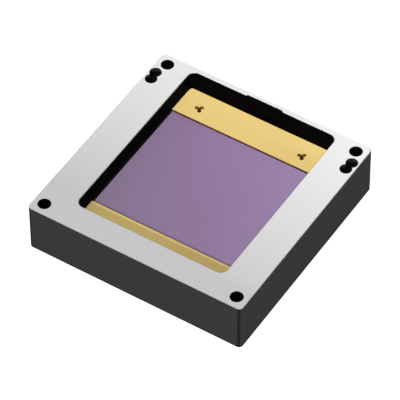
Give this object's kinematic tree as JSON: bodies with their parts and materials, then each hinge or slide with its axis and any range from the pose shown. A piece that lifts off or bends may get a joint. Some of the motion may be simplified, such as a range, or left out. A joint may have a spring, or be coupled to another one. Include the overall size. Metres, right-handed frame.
{
  "type": "uncooled infrared detector",
  "caption": "Square infrared detector module: a low metal frame with corner mounting holes round a recessed gold lid and purple window, with a board connector underneath.",
  "frame": {"origin": "middle of the square base, on the plane that the frame stands on", "axes": "+Z up, out of the infrared window; +Y towards the thin rear rim of the frame, which is the side of the wide gold strip and the twin locating holes; +X to the right, seen from the window side with +Y up"},
  "size_m": [0.025, 0.025, 0.0059],
  "materials": {
    "frame_metal": "black anodised, with the top face cut bright",
    "gold_plate": "satin gold plating",
    "window_coating": "purple antireflection coating on silicon, opaque to the eye",
    "solder": "satin solder",
    "ring_metal": "plated ring",
    "package_ceramic": "dark matt alumina",
    "silicon": "polished silicon, opaque",
    "bond_film": "silver filled bond film",
    "getter_metal": "dull sintered metal",
    "gold_wire": "bright gold wire",
    "gasket_rubber": "black silicone",
    "board_laminate": "glass laminate with green solder mask",
    "screw_steel": "stainless steel",
    "connector_plastic": "black moulded plastic",
    "contact_gold": "gold plated contacts",
    "tin_plate": "tin plating",
    "chip_mould": "black moulding compound",
    "capacitor_ceramic": "tan ceramic",
    "resistor_ceramic": "dark glazed resistor"
  },
  "bodies": {
    "root": {"housing_frame": "frame_metal", "lid_gasket": "gasket_rubber", "package_lid": "gold_plate", "window_solder": "solder", "infrared_window": "window_coating", "lid_seal_solder": "solder", "seal_ring": "ring_metal", "ceramic_package": "package_ceramic", "focal_plane_die": "silicon", "die_attach": "bond_film", "getter_strips": "getter_metal", "bond_wires": "gold_wire", "package_solder_joints": "solder", "interface_board": "board_laminate", "board_screws": "screw_steel", "connector_housing": "connector_plastic", "connector_contacts": "contact_gold", "connector_anchors": "tin_plate", "calibration_memory": "chip_mould", "memory_leads": "tin_plate", "bias_regulators": "chip_mould", "regulator_leads": "tin_plate", "temperature_sensor": "chip_mould", "sensor_leads": "tin_plate", "decoupling_capacitors": "capacitor_ceramic", "capacitor_terminals": "tin_plate", "chip_resistors": "resistor_ceramic", "resistor_terminals": "tin_plate"}
  },
  "joints": []
}
